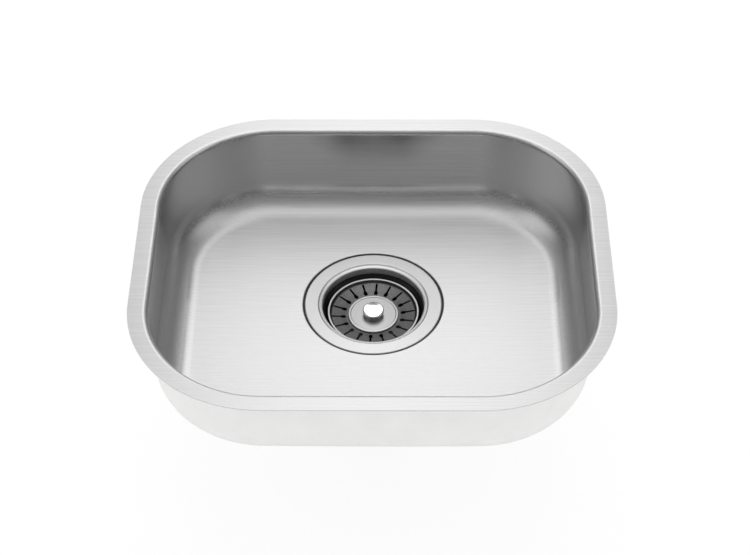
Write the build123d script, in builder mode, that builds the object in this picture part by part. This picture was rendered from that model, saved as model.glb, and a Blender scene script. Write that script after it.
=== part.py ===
from build123d import *
from math import sqrt
import os

# An undermount kitchen sink: one drawn steel bowl that hangs by its flange under a countertop,
# and the basket strainer clamped in its floor.
# Millimetres. The origin is the centre of the flange's top face, +Z up, +X to the right,
# +Y to the back. A depth or a drop is measured down from the face that its comment names.

# --- bowl -------------------------------------------------------------------------------------
bowl_length = 378.0            # flange, left to right
bowl_width = 326.0             # flange, front to back
flange_corner_radius = 107.0
flange_band = 11.5             # flat band that the countertop rests on
lip_bend = 4.5                 # show-face bend from the band into the wall
bowl_gauge = 1.0
bowl_depth = 80.0              # band to the floor at the drain
wall_draft = 2.0               # degrees
cove_radius = 25.5             # foot of the walls
dish_radius = 6000.0           # the floor falls to the drain as part of a large sphere
drain_offset = 23.0            # drain centre, behind the middle
edge_round = 0.3               # broken edges
fine_round = 0.2               # broken edges of thin pieces

# --- drain opening in the floor ---------------------------------------------------------------
drain_hole_radius = 45.0
recess_gap = 1.3               # open ring round the strainer's flange
recess_round = 0.8

# --- strainer body ----------------------------------------------------------------------------
strainer_flange_radius = 57.0
strainer_flange_flat = 11.0
strainer_lip_drop = 1.6        # turned-down edge of the flange
strainer_gauge = 0.9
flange_bend = 1.0
step_bend = 1.0
step_width = 1.1
step_drop = 0.9
throat_radius = 42.0
throat_drop = 1.5
throat_bend = 1.4
shoulder_depth = 8.3           # flange to the top of the conical shoulder
shoulder_bend = 1.5
cup_radius = 37.0
cup_taper = 0.8
cup_depth = 41.0               # flange to the edge of the outlet
floor_rise = 5.0               # fall of the cup's floor
cup_foot_bend = 6.0
outlet_bend = 2.5
outlet_radius = 18.5
collar_length = 15.0

# --- clamping stack under the floor -----------------------------------------------------------
seal_thickness = 1.6
seal_margin = 0.5
gasket_thickness = 2.0
gasket_radius = 54.5
gasket_bore = 44.6
clamp_gauge = 1.0
clamp_rim_radius = 54.0
clamp_wall_radius = 46.2
clamp_wall_taper = 2.2
clamp_rim_bend = 2.5
clamp_foot_bend = 10.0
clamp_floor_depth = 46.0       # flange to the inside of the clamp cup's floor
friction_washer_radius = 33.0
friction_washer_thickness = 0.8
lock_nut_radius = 30.5
lock_nut_height = 9.0
ear_count = 6
ear_width = 9.0
ear_reach = 4.5
ear_round = 1.0
nut_chamfer = 0.6

# --- outlet -----------------------------------------------------------------------------------
spud_wall = 4.2
spud_bend_clear = 2.5          # hollow round the bend of the collar
nut_gap = 1.5                  # between the lock nut and the coupling nut
coupling_thread = 14.0         # spud held by the coupling nut
coupling_wall = 4.6
coupling_lip = 3.0
coupling_top_round = 1.2
coupling_foot_round = 2.0
grip_count = 12
grip_width = 4.0
grip_reach = 1.6
tail_radius = 19.05
tail_wall = 1.2
tail_length = 60.0             # tube below its flange
tail_neck_cut = 0.25           # relief in the tube where the coupling nut's lip surrounds it
tail_neck_margin = 0.6         # relief below the lip
tail_flange_thickness = 1.5
tail_washer_thickness = 2.0

# --- basket -----------------------------------------------------------------------------------
basket_gauge = 0.7
basket_radius = 38.2
rim_width = 1.8
rim_curl = 2.4                 # height of the rolled rim
rim_bend = 0.8
basket_wall_lean = 1.2
basket_wall_drop = 3.0
basket_fall = 1.9              # fall of the slotted cone to the centre plate
centre_plate_radius = 22.3
cone_bend = 1.2
plate_bend = 2.0
slot_count = 18
slot_width = 1.8
keyhole_width = 3.4
keyhole_length = 4.6
slot_end_margin = 0.5
first_slot_angle = 85.5
disc_radius = 21.2
disc_gauge = 0.6
disc_height = 1.6
disc_ring_width = 2.0
disc_step = 0.5
disc_edge_bend = 1.1
panel_bend = 0.4
hub_radius = 5.5
hub_length = 12.0
hub_flange_radius = 9.0
hub_flange_thickness = 1.0

# --- plug that the knob lifts -----------------------------------------------------------------
stem_radius = 2.5
pull_travel = 8.0
groove_depth = 0.3
groove_width = 1.2
groove_drop = 6.0              # detent groove below the top of the hub
detent_wire_radius = 0.5
detent_arc = 310               # degrees
knob_radius = 8.75
knob_height = 5.8
knob_crown = 0.8
knob_edge = 1.8
knob_waist_radius = 5.4
knob_waist_height = 1.7
knob_foot_radius = 5.8
knob_bore_depth = 3.6
stopper_radius = 25.0
stopper_edge = 1.6
stopper_plug_drop = 0.6        # rubber below the edge of the outlet
stopper_plug_gap = 1.0
stopper_plate_radius = 21.0
stopper_plate_thickness = 0.8
stopper_washer_radius = 12.0
stopper_washer_thickness = 1.0
stem_nut_flats = 8.0
stem_nut_height = 4.0
stem_tail = 15.4               # stem below its nut

# --- cross bar and guide ----------------------------------------------------------------------
crossbar_ring_width = 2.0
crossbar_arm_count = 3
crossbar_arm_width = 3.2
crossbar_arm_height = 3.2
crossbar_hub_radius = 6.2
crossbar_hub_height = 5.0
crossbar_bore = 4.0
guide_flange_radius = 5.5
guide_flange_thickness = 1.0
guide_lip_radius = 4.5
guide_lip_height = 1.4
guide_clear = 1.6              # stem nut to guide, plug down

# --- sound pads -------------------------------------------------------------------------------
pad_thickness = 2.0
glue_line = 0.1
floor_pad_length = 250.0
floor_pad_width = 176.0
floor_pad_corner = 30.0
pad_drain_margin = 12.0
wall_pad_width = 80.0
wall_pad_height = 36.0
wall_pad_drop = 17.0           # band to the top of the wall pads

# --- clearances -------------------------------------------------------------------------------
rest_gap = 0.3                 # between pieces that part
running_gap = 0.08             # round a turning or sliding fit
thread_gap = 0.15
seat_gap = 0.1                 # between pieces fixed to each other

os.makedirs("parts", exist_ok=True)

# Heights from the strainer's flange, all negative, and the frame of its axis.
lip_reach = flange_band + lip_bend
drain_axis = Axis((0, drain_offset, 0), (0, 0, 1))
drain_section = Plane(origin=(0, drain_offset, -bowl_depth), x_dir=(1, 0, 0), z_dir=(0, -1, 0))
recess_depth = strainer_gauge + seal_thickness
recess_radius = strainer_flange_radius + recess_gap
clamp_top = -(recess_depth + bowl_gauge)
cup_foot_radius = cup_radius - cup_taper
floor_slope = floor_rise / (cup_foot_radius - outlet_radius)
slope_length = sqrt(1 + floor_slope**2)
spud_bore = outlet_radius + strainer_gauge + seat_gap
spud_radius = spud_bore + spud_wall
thread_bore = spud_radius + thread_gap


def drain_level(height):
    """The horizontal plane on the drain's axis at a height from the strainer's flange."""
    return Plane(origin=(0, drain_offset, -bowl_depth + height))


def cup_floor(radius):
    """Height of the cup's sloping floor at a radius."""
    return -cup_depth + (radius - outlet_radius) * floor_slope


def shoulder(radius):
    """Height of the 45 degree shoulder that carries the basket."""
    return -shoulder_depth - (throat_radius - radius)


def sheet_section(path, bends, gauge):
    """Half section of pressed sheet: its upper face from the rim inwards, one bend a corner."""
    with BuildSketch(drain_section) as section:
        with BuildLine():
            FilletPolyline(*path, radius=bends)
            offset(amount=gauge, side=Side.LEFT)
        make_face()
    return section.sketch


def solid_section(corners, rounding):
    """Half section of a moulded or turned piece: its corners and one radius for each."""
    with BuildSketch(drain_section) as section:
        with BuildLine():
            FilletPolyline(*corners, radius=rounding, close=True)
        make_face()
    return section.sketch


def ring_section(inner, outer, top, thickness, rounding):
    """Half section of a flat ring."""
    corners = [(inner, top), (outer, top), (outer, top - thickness), (inner, top - thickness)]
    return solid_section(corners, [rounding] * 4)


def basin_form(grow):
    """The inside of the bowl, grown outward: leaning walls, a coved foot and a dished floor."""
    with BuildPart() as form:
        with BuildSketch():
            RectangleRounded(
                bowl_length - 2 * (lip_reach - grow),
                bowl_width - 2 * (lip_reach - grow),
                flange_corner_radius - lip_reach + grow,
            )
        extrude(amount=-(bowl_depth + cove_radius), taper=wall_draft)
        with Locations((0, drain_offset, dish_radius - bowl_depth)):
            # The ball is turned so that its poles and its seam stay off the floor.
            Sphere(dish_radius + grow, rotation=(0, -90, 0), mode=Mode.INTERSECT)
        foot_level = cove_radius / 2 - bowl_depth
        foot = [e for e in form.edges() if e.bounding_box().max.Z < foot_level]
        fillet(foot, cove_radius + grow)
    return form.part


# --- sink_bowl: one sheet, drawn into a basin with a flat flange ------------------------------
inner_form = basin_form(0)
outer_form = basin_form(bowl_gauge)

with BuildPart() as sink_bowl:
    with BuildSketch(Plane.XY.offset(-bowl_gauge)):
        RectangleRounded(bowl_length, bowl_width, flange_corner_radius)
    extrude(amount=bowl_gauge)
    rim_edges = sink_bowl.edges().group_by(Axis.Z)[0] + sink_bowl.edges().group_by(Axis.Z)[-1]
    fillet(rim_edges, edge_round)
    add(outer_form)
    with BuildSketch(drain_level(-recess_depth - bowl_gauge)):
        Circle(recess_radius + bowl_gauge)
    extrude(amount=recess_depth + bowl_gauge)
    inside_under_band = bowl_length / 2 - flange_band
    under_lip = [
        e
        for e in sink_bowl.edges().filter_by_position(Axis.Z, -bowl_gauge, -bowl_gauge)
        if e.bounding_box().max.X < inside_under_band and e.bounding_box().min.X > -inside_under_band
    ]
    fillet(under_lip, lip_bend - bowl_gauge)
    add(inner_form, mode=Mode.SUBTRACT)
    lip_edges = [
        e
        for e in sink_bowl.edges().filter_by_position(Axis.Z, 0, 0)
        if e.bounding_box().max.X < inside_under_band and e.bounding_box().min.X > -inside_under_band
    ]
    fillet(lip_edges, lip_bend)
    with BuildSketch(drain_level(-recess_depth)):
        Circle(recess_radius)
    extrude(amount=recess_depth + bowl_gauge, mode=Mode.SUBTRACT)
    with BuildSketch(drain_level(-recess_depth - bowl_gauge)):
        Circle(drain_hole_radius)
    extrude(amount=recess_depth + bowl_gauge, mode=Mode.SUBTRACT)
    recess_rim = [
        e
        for e in sink_bowl.edges().filter_by(GeomType.CIRCLE)
        if abs(e.radius - recess_radius) < edge_round and e.center().Z > -bowl_depth - edge_round
    ]
    fillet(recess_rim, recess_round)
sink_bowl.part.label = "sink_bowl"
export_step(sink_bowl.part, "parts/sink_bowl.step")

# --- sound pads: rubber sheet glued to the outside of the bowl --------------------------------
pad_inner = basin_form(bowl_gauge + glue_line)
pad_outer = basin_form(bowl_gauge + glue_line + pad_thickness)

with BuildPart() as floor_sound_pad:
    add(pad_outer)
    add(pad_inner, mode=Mode.SUBTRACT)
    with BuildSketch(Plane.XY.offset(-bowl_depth - cove_radius)):
        RectangleRounded(floor_pad_length, floor_pad_width, floor_pad_corner)
        with Locations((0, drain_offset)):
            Circle(recess_radius + pad_drain_margin, mode=Mode.SUBTRACT)
    extrude(amount=cove_radius + cove_radius / 2, mode=Mode.INTERSECT)
floor_sound_pad.part.label = "floor_sound_pad"
export_step(floor_sound_pad.part, "parts/floor_sound_pad.step")

# --- wall_sound_pads: a sheet on each end wall ------------------------------------------------
with BuildPart() as wall_sound_pads:
    add(pad_outer)
    add(pad_inner, mode=Mode.SUBTRACT)
    with BuildSketch(Plane.XY.offset(-wall_pad_drop)):
        Rectangle(bowl_length, wall_pad_width)
    extrude(amount=-wall_pad_height, mode=Mode.INTERSECT)
wall_sound_pads.part.label = "wall_sound_pads"
export_step(wall_sound_pads.part, "parts/wall_sound_pads.step")

# --- strainer_body: pressed cup with a flange, a conical shoulder and an outlet collar --------
step_radius = strainer_flange_radius - strainer_flange_flat
with BuildPart() as strainer_body:
    body_path = [
        (strainer_flange_radius, -strainer_lip_drop),
        (strainer_flange_radius, 0),
        (step_radius, 0),
        (step_radius - step_width, -step_drop),
        (throat_radius, -throat_drop),
        (throat_radius, -shoulder_depth),
        (cup_radius, shoulder(cup_radius)),
        (cup_foot_radius, cup_floor(cup_foot_radius)),
        (outlet_radius, -cup_depth),
        (outlet_radius, -cup_depth - collar_length),
    ]
    body_bends = [
        flange_bend,
        step_bend,
        step_bend,
        throat_bend,
        shoulder_bend,
        shoulder_bend,
        cup_foot_bend,
        outlet_bend,
    ]
    revolve(sheet_section(body_path, body_bends, strainer_gauge), axis=drain_axis)
strainer_body.part.label = "strainer_body"
export_step(strainer_body.part, "parts/strainer_body.step")

# --- flange_seal: rubber ring that lines the recess under and round the strainer's flange ------
with BuildPart() as flange_seal:
    seal_bore = step_radius + seal_margin
    seal_step = strainer_flange_radius - strainer_gauge - seal_margin
    seal_groove = -strainer_lip_drop - rest_gap
    upstand_bore = strainer_flange_radius + rest_gap
    seal_outer = recess_radius - seat_gap
    seal_corners = [
        (seal_bore, -strainer_gauge),
        (seal_step, -strainer_gauge),
        (seal_step, seal_groove),
        (upstand_bore, seal_groove),
        (upstand_bore, -rest_gap),
        (seal_outer, -rest_gap),
        (seal_outer, -recess_depth),
        (seal_bore, -recess_depth),
    ]
    seal_rounds = [fine_round] * 2 + [0, 0] + [fine_round] * 4
    revolve(solid_section(seal_corners, seal_rounds), axis=drain_axis)
flange_seal.part.label = "flange_seal"
export_step(flange_seal.part, "parts/flange_seal.step")

# --- clamp_gasket: thicker rubber ring under the floor ----------------------------------------
with BuildPart() as clamp_gasket:
    revolve(
        ring_section(gasket_bore, gasket_radius, clamp_top, gasket_thickness, edge_round),
        axis=drain_axis,
    )
clamp_gasket.part.label = "clamp_gasket"
export_step(clamp_gasket.part, "parts/clamp_gasket.step")

# --- clamp_cup: outer cup whose rim squeezes the gasket against the floor ---------------------
clamp_rim_top = clamp_top - gasket_thickness
with BuildPart() as clamp_cup:
    clamp_path = [
        (clamp_rim_radius, clamp_rim_top),
        (clamp_wall_radius, clamp_rim_top),
        (clamp_wall_radius - clamp_wall_taper, -clamp_floor_depth),
        (thread_bore, -clamp_floor_depth),
    ]
    clamp_bends = [clamp_rim_bend, clamp_foot_bend]
    revolve(sheet_section(clamp_path, clamp_bends, clamp_gauge), axis=drain_axis)
clamp_cup.part.label = "clamp_cup"
export_step(clamp_cup.part, "parts/clamp_cup.step")

# --- friction_washer: lets the lock nut turn without dragging the cup -------------------------
washer_top = -clamp_floor_depth - clamp_gauge
with BuildPart() as friction_washer:
    revolve(
        ring_section(
            thread_bore, friction_washer_radius, washer_top, friction_washer_thickness, fine_round
        ),
        axis=drain_axis,
    )
friction_washer.part.label = "friction_washer"
export_step(friction_washer.part, "parts/friction_washer.step")

# --- lock_nut: eared nut on the spud ----------------------------------------------------------
lock_nut_top = washer_top - friction_washer_thickness
with BuildPart() as lock_nut:
    with BuildSketch(drain_level(lock_nut_top)):
        Circle(lock_nut_radius)
        with PolarLocations(lock_nut_radius, ear_count):
            Rectangle(2 * ear_reach, ear_width)
        Circle(thread_bore, mode=Mode.SUBTRACT)
    extrude(amount=-lock_nut_height)
    fillet(lock_nut.edges().filter_by(Axis.Z), ear_round)
    chamfer(lock_nut.edges().group_by(Axis.Z)[0], nut_chamfer)
    chamfer(lock_nut.edges().group_by(Axis.Z)[-1], nut_chamfer)
lock_nut.part.label = "lock_nut"
export_step(lock_nut.part, "parts/lock_nut.step")

# --- outlet_spud: threaded sleeve welded round the collar -------------------------------------
lock_nut_bottom = lock_nut_top - lock_nut_height
coupling_top = lock_nut_bottom - nut_gap
spud_bottom = coupling_top - coupling_thread
with BuildPart() as outlet_spud:
    under_floor = strainer_gauge * slope_length + seat_gap
    spud_corners = [
        (spud_bore, cup_floor(spud_bore) - under_floor - spud_bend_clear),
        (spud_bore + spud_bend_clear, cup_floor(spud_bore + spud_bend_clear) - under_floor),
        (spud_radius, cup_floor(spud_radius) - under_floor),
        (spud_radius, spud_bottom),
        (spud_bore, spud_bottom),
    ]
    revolve(solid_section(spud_corners, [fine_round] * 5), axis=drain_axis)
outlet_spud.part.label = "outlet_spud"
export_step(outlet_spud.part, "parts/outlet_spud.step")

# --- tailpiece_washer: nylon ring between the spud and the tailpiece --------------------------
tail_bore = tail_radius - tail_wall
tail_flange_radius = spud_radius - seat_gap
with BuildPart() as tailpiece_washer:
    revolve(
        ring_section(tail_bore, tail_flange_radius, spud_bottom, tail_washer_thickness, edge_round),
        axis=drain_axis,
    )
tailpiece_washer.part.label = "tailpiece_washer"
export_step(tailpiece_washer.part, "parts/tailpiece_washer.step")

# --- tailpiece: flanged waste tube ------------------------------------------------------------
tail_top = spud_bottom - tail_washer_thickness
tail_bottom = tail_top - tail_flange_thickness - tail_length
lip_top = tail_top - tail_flange_thickness - seat_gap
tail_neck_bottom = lip_top - coupling_lip - tail_neck_margin
with BuildPart() as tailpiece:
    neck_radius = tail_radius - tail_neck_cut
    tail_corners = [
        (tail_bore, tail_top),
        (tail_flange_radius, tail_top),
        (tail_flange_radius, tail_top - tail_flange_thickness),
        (neck_radius, tail_top - tail_flange_thickness),
        (neck_radius, tail_neck_bottom + tail_neck_cut),
        (tail_radius, tail_neck_bottom),
        (tail_radius, tail_bottom),
        (tail_bore, tail_bottom),
    ]
    tail_rounds = [edge_round] * 4 + [0, 0] + [fine_round] * 2
    revolve(solid_section(tail_corners, tail_rounds), axis=drain_axis)
tailpiece.part.label = "tailpiece"
export_step(tailpiece.part, "parts/tailpiece.step")

# --- coupling_nut: ribbed nut that pulls the tailpiece up to the spud -------------------------
with BuildPart() as coupling_nut:
    nut_radius = thread_bore + coupling_wall
    nut_corners = [
        (thread_bore, coupling_top),
        (nut_radius, coupling_top),
        (nut_radius, lip_top - coupling_lip),
        (tail_radius + rest_gap, lip_top - coupling_lip),
        (tail_radius + rest_gap, lip_top),
        (thread_bore, lip_top),
    ]
    nut_rounds = [edge_round, coupling_top_round, coupling_foot_round] + [edge_round] * 3
    revolve(solid_section(nut_corners, nut_rounds), axis=drain_axis)
    grip_top = coupling_top - grip_reach
    grip_bottom = lip_top - coupling_lip + grip_reach
    with BuildSketch(drain_level(grip_top)):
        with PolarLocations(nut_radius, grip_count):
            RectangleRounded(2 * grip_reach, grip_width, grip_reach / 2)
    extrude(amount=grip_bottom - grip_top)
coupling_nut.part.label = "coupling_nut"
export_step(coupling_nut.part, "parts/coupling_nut.step")

# --- outlet_crossbar: ring, arms and hub pressed into the collar ------------------------------
stopper_plug_bottom = -cup_depth - stopper_plug_drop
stem_nut_bottom = stopper_plug_bottom - stopper_washer_thickness - stem_nut_height
guide_top = stem_nut_bottom - guide_clear
hub_top = guide_top - guide_flange_thickness - running_gap
crossbar_radius = outlet_radius - seat_gap
with BuildPart() as outlet_crossbar:
    with BuildSketch(drain_level(hub_top)):
        Circle(crossbar_hub_radius)
    extrude(amount=-crossbar_hub_height)
    with BuildSketch(drain_level(hub_top - crossbar_hub_height)):
        Circle(crossbar_radius)
        Circle(crossbar_radius - crossbar_ring_width, mode=Mode.SUBTRACT)
        with PolarLocations(crossbar_radius / 2, crossbar_arm_count, start_angle=90):
            Rectangle(crossbar_radius - crossbar_ring_width / 2, crossbar_arm_width)
        Circle(crossbar_hub_radius)
    extrude(amount=crossbar_arm_height)
    with BuildSketch(drain_level(hub_top)):
        Circle(crossbar_bore)
    extrude(amount=-crossbar_hub_height, mode=Mode.SUBTRACT)
outlet_crossbar.part.label = "outlet_crossbar"
export_step(outlet_crossbar.part, "parts/outlet_crossbar.step")

# --- post_guide: nylon bush that turns in the cross bar and guides the stem -------------------
guide_bore = stem_radius + running_gap
guide_radius = crossbar_bore - running_gap
guide_lip_top = hub_top - crossbar_hub_height - rest_gap
with BuildPart() as post_guide:
    guide_corners = [
        (guide_bore, guide_top),
        (guide_flange_radius, guide_top),
        (guide_flange_radius, guide_top - guide_flange_thickness),
        (guide_radius, guide_top - guide_flange_thickness),
        (guide_radius, guide_lip_top),
        (guide_lip_radius, guide_lip_top),
        (guide_radius, guide_lip_top - guide_lip_height),
        (guide_bore, guide_lip_top - guide_lip_height),
    ]
    guide_rounds = [fine_round] * 3 + [0, 0] + [seat_gap] * 3
    revolve(solid_section(guide_corners, guide_rounds), axis=drain_axis)
post_guide.part.label = "post_guide"
export_step(post_guide.part, "parts/post_guide.step")

# --- strainer_basket: rolled rim on the shoulder, slotted cone, flat centre -------------------
rim_foot = shoulder(basket_radius) + rest_gap * sqrt(2)
rim_top = rim_foot + rim_curl
wall_top_radius = basket_radius - rim_width
cone_top_radius = wall_top_radius - basket_wall_lean
cone_top = rim_top - basket_wall_drop
plate_top = cone_top - basket_fall
basket_bore = stem_radius + rest_gap
with BuildPart() as strainer_basket:
    basket_path = [
        (basket_radius, rim_foot),
        (basket_radius, rim_top),
        (wall_top_radius, rim_top),
        (cone_top_radius, cone_top),
        (centre_plate_radius, plate_top),
        (basket_bore, plate_top),
    ]
    basket_bends = [rim_bend, rim_bend, cone_bend, plate_bend]
    revolve(sheet_section(basket_path, basket_bends, basket_gauge), axis=drain_axis)
    slot_outer = cone_top_radius - slot_end_margin
    slot_inner = centre_plate_radius + slot_end_margin
    slot_middle = (slot_outer + slot_inner) / 2
    with BuildSketch(drain_level(cone_top)):
        with PolarLocations(slot_middle, slot_count, start_angle=first_slot_angle):
            SlotOverall(slot_outer - slot_inner, slot_width)
        with PolarLocations(slot_inner + keyhole_length / 2, slot_count, start_angle=first_slot_angle):
            SlotOverall(keyhole_length, keyhole_width)
    extrude(amount=basket_wall_drop, both=True, mode=Mode.SUBTRACT)
strainer_basket.part.label = "strainer_basket"
export_step(strainer_basket.part, "parts/strainer_basket.step")

# --- centre_disc: pressed cap on the basket's centre plate ------------------------------------
disc_top = plate_top + disc_height
panel_top = disc_top - disc_step
panel_radius = disc_radius - disc_ring_width
with BuildPart() as centre_disc:
    disc_path = [
        (disc_radius, plate_top),
        (disc_radius, disc_top),
        (panel_radius, disc_top),
        (panel_radius - disc_step, panel_top),
        (basket_bore, panel_top),
    ]
    disc_bends = [disc_edge_bend, panel_bend, panel_bend]
    revolve(sheet_section(disc_path, disc_bends, disc_gauge), axis=drain_axis)
centre_disc.part.label = "centre_disc"
export_step(centre_disc.part, "parts/centre_disc.step")

# --- hub_sleeve: riveted under the basket, guides the stem and holds the detent ---------------
sleeve_top = plate_top - basket_gauge
sleeve_bottom = sleeve_top - hub_length
groove_top = sleeve_top - groove_drop
ring_radius = stem_radius + rest_gap + detent_wire_radius
groove_radius = ring_radius + detent_wire_radius + seat_gap
groove_bottom = groove_top - 2 * (detent_wire_radius + seat_gap)
with BuildPart() as hub_sleeve:
    sleeve_corners = [
        (guide_bore, sleeve_top),
        (hub_flange_radius, sleeve_top),
        (hub_flange_radius, sleeve_top - hub_flange_thickness),
        (hub_radius, sleeve_top - hub_flange_thickness),
        (hub_radius, sleeve_bottom),
        (guide_bore, sleeve_bottom),
        (guide_bore, groove_bottom),
        (groove_radius, groove_bottom),
        (groove_radius, groove_top),
        (guide_bore, groove_top),
    ]
    sleeve_rounds = [0] + [fine_round] * 4 + [0] * 5
    revolve(solid_section(sleeve_corners, sleeve_rounds), axis=drain_axis)
hub_sleeve.part.label = "hub_sleeve"
export_step(hub_sleeve.part, "parts/hub_sleeve.step")

# --- detent_ring: split wire ring that snaps into the stem's grooves --------------------------
ring_height = (groove_top + groove_bottom) / 2
with BuildPart() as detent_ring:
    with BuildSketch(drain_section):
        with Locations((ring_radius, ring_height)):
            Circle(detent_wire_radius)
    revolve(axis=drain_axis, revolution_arc=detent_arc)
detent_ring.part.label = "detent_ring"
export_step(detent_ring.part, "parts/detent_ring.step")

# --- lift_knob: crowned button on the stem ----------------------------------------------------
knob_bottom = panel_top + rest_gap
knob_top = knob_bottom + knob_height
knob_shade = knob_top - knob_crown
crown_radius = (knob_radius**2 + knob_crown**2) / (2 * knob_crown)
half_way = knob_radius / 2
half_way_top = knob_top - crown_radius + sqrt(crown_radius**2 - half_way**2)
stem_bore = stem_radius + seat_gap / 2
with BuildPart() as lift_knob:
    with BuildSketch(drain_section):
        with BuildLine():
            ThreePointArc((0, knob_top), (half_way, half_way_top), (knob_radius, knob_shade))
            Line((knob_radius, knob_shade), (knob_radius, knob_shade - knob_edge))
            ThreePointArc(
                (knob_radius, knob_shade - knob_edge),
                (knob_waist_radius, knob_bottom + knob_waist_height),
                (knob_foot_radius, knob_bottom),
            )
            Polyline(
                (knob_foot_radius, knob_bottom),
                (stem_bore, knob_bottom),
                (stem_bore, knob_bottom + knob_bore_depth),
                (0, knob_bottom + knob_bore_depth),
                (0, knob_top),
            )
        make_face()
    revolve(axis=drain_axis)
lift_knob.part.label = "lift_knob"
export_step(lift_knob.part, "parts/lift_knob.step")

# --- lift_stem: post from the knob to the guide, with two detent grooves ----------------------
stem_top = knob_bottom + knob_bore_depth - seat_gap
stem_bottom = stem_nut_bottom - stem_tail
with BuildPart() as lift_stem:
    with BuildSketch(drain_section):
        with BuildLine():
            Polyline(
                (0, stem_top),
                (stem_radius, stem_top),
                (stem_radius, stem_bottom),
                (0, stem_bottom),
                close=True,
            )
        make_face()
        for height in (ring_height, ring_height - pull_travel):
            with Locations((stem_radius, height)):
                Rectangle(2 * groove_depth, groove_width, mode=Mode.SUBTRACT)
    revolve(axis=drain_axis)
    chamfer(lift_stem.edges().group_by(Axis.Z)[0], edge_round)
lift_stem.part.label = "lift_stem"
export_step(lift_stem.part, "parts/lift_stem.step")

# --- stopper: rubber disc on the cup's floor, held between two washers and a nut --------------
seat_lift = rest_gap * slope_length
stopper_side = cup_floor(stopper_radius) + seat_lift
stopper_top = stopper_side + stopper_edge
plug_radius = outlet_radius - stopper_plug_gap
with BuildPart() as stopper_disc:
    stopper_corners = [
        (stem_bore, stopper_top),
        (stopper_radius, stopper_top),
        (stopper_radius, stopper_side),
        (outlet_radius, -cup_depth + seat_lift),
        (plug_radius, stopper_plug_bottom),
        (stem_bore, stopper_plug_bottom),
    ]
    stopper_rounds = [0] + [edge_round] * 4 + [0]
    revolve(solid_section(stopper_corners, stopper_rounds), axis=drain_axis)
stopper_disc.part.label = "stopper_disc"
export_step(stopper_disc.part, "parts/stopper_disc.step")

plate_height = stopper_top + stopper_plate_thickness
with BuildPart() as stopper_plate:
    revolve(
        ring_section(
            stem_bore, stopper_plate_radius, plate_height, stopper_plate_thickness, fine_round
        ),
        axis=drain_axis,
    )
stopper_plate.part.label = "stopper_plate"
export_step(stopper_plate.part, "parts/stopper_plate.step")

with BuildPart() as stopper_washer:
    revolve(
        ring_section(
            stem_bore,
            stopper_washer_radius,
            stopper_plug_bottom,
            stopper_washer_thickness,
            fine_round,
        ),
        axis=drain_axis,
    )
stopper_washer.part.label = "stopper_washer"
export_step(stopper_washer.part, "parts/stopper_washer.step")

with BuildPart() as stem_nut:
    with BuildSketch(drain_level(stem_nut_bottom)):
        RegularPolygon(stem_nut_flats / 2, 6, major_radius=False)
        Circle(stem_bore, mode=Mode.SUBTRACT)
    extrude(amount=stem_nut_height)
    outer_corners = stem_nut.edges().group_by(Axis.Z)[0].filter_by(GeomType.LINE)
    chamfer(outer_corners, edge_round)
stem_nut.part.label = "stem_nut"
export_step(stem_nut.part, "parts/stem_nut.step")
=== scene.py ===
# %% [markdown]
# # An undermount kitchen sink in stainless steel
#
# The real object is one sheet of steel, drawn into a basin with a flat flange, and a basket
# strainer clamped in its floor. The CAD frame gives the sizes and the places of all its pieces.
# Here each pressed or turned piece is modelled again as a clean, smooth mesh, and every piece gets
# the finish that the real one has. Lengths are written in millimetres and turned into metres.

import bmesh
import bpy
from math import cos, pi, radians, sin, sqrt, tan
from mathutils import Euler, Matrix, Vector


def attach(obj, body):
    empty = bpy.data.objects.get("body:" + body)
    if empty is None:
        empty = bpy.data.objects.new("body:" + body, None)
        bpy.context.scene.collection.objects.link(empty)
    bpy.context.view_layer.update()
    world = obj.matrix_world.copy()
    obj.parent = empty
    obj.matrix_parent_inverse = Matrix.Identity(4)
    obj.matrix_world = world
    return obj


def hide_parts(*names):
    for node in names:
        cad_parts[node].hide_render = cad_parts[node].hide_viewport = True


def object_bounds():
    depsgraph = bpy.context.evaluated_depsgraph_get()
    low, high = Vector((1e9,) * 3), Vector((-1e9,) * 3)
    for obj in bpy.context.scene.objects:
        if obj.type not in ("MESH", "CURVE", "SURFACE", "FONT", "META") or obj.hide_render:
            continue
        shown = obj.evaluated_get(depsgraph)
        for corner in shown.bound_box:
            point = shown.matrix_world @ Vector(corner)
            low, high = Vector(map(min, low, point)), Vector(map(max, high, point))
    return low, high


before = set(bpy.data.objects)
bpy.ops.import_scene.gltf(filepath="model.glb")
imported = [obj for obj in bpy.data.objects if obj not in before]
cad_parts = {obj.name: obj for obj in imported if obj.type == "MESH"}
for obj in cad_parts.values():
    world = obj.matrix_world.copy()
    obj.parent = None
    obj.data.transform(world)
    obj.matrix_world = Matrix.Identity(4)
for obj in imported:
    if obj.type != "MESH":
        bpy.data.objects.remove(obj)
cad_box = [list(corner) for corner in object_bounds()]
mm = 0.001

# %% [markdown]
# ## The camera
#
# The photograph looks down into the basin from the front, at about 45 degrees. The camera could be
# set by eye, but it was fitted to the outline of the flange and of the strainer, so its place and
# its focal length are plain numbers here. A small roll and turn are left in, as in the photograph.

# %% Camera at the photograph's angle
lens_data = bpy.data.cameras.new("view")
lens_data.sensor_width = 36.0
lens_data.lens = 92.53
lens_data.clip_end = 50.0
camera = bpy.data.objects.new("view", lens_data)
bpy.context.scene.collection.objects.link(camera)
aim = Euler((radians(90 - 45.368), 0, radians(0.636))).to_matrix().to_4x4()
roll = Matrix.Rotation(radians(-0.362), 4, "Z")
camera.matrix_world = Matrix.Translation((13.9 * mm, -1086.4 * mm, 1073.9 * mm)) @ aim @ roll
bpy.context.scene.camera = camera
bpy.context.scene.view_settings.view_transform = "Standard"
print("camera stands", round(camera.location.length, 3), "m from the flange's centre")

# %% [markdown]
# ## Small helpers for modelling
#
# Operators act on whatever is selected, so each helper first clears the selection. Faces, edges
# and vertices are picked in code by where they are, which works in edit mode through bmesh.


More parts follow.
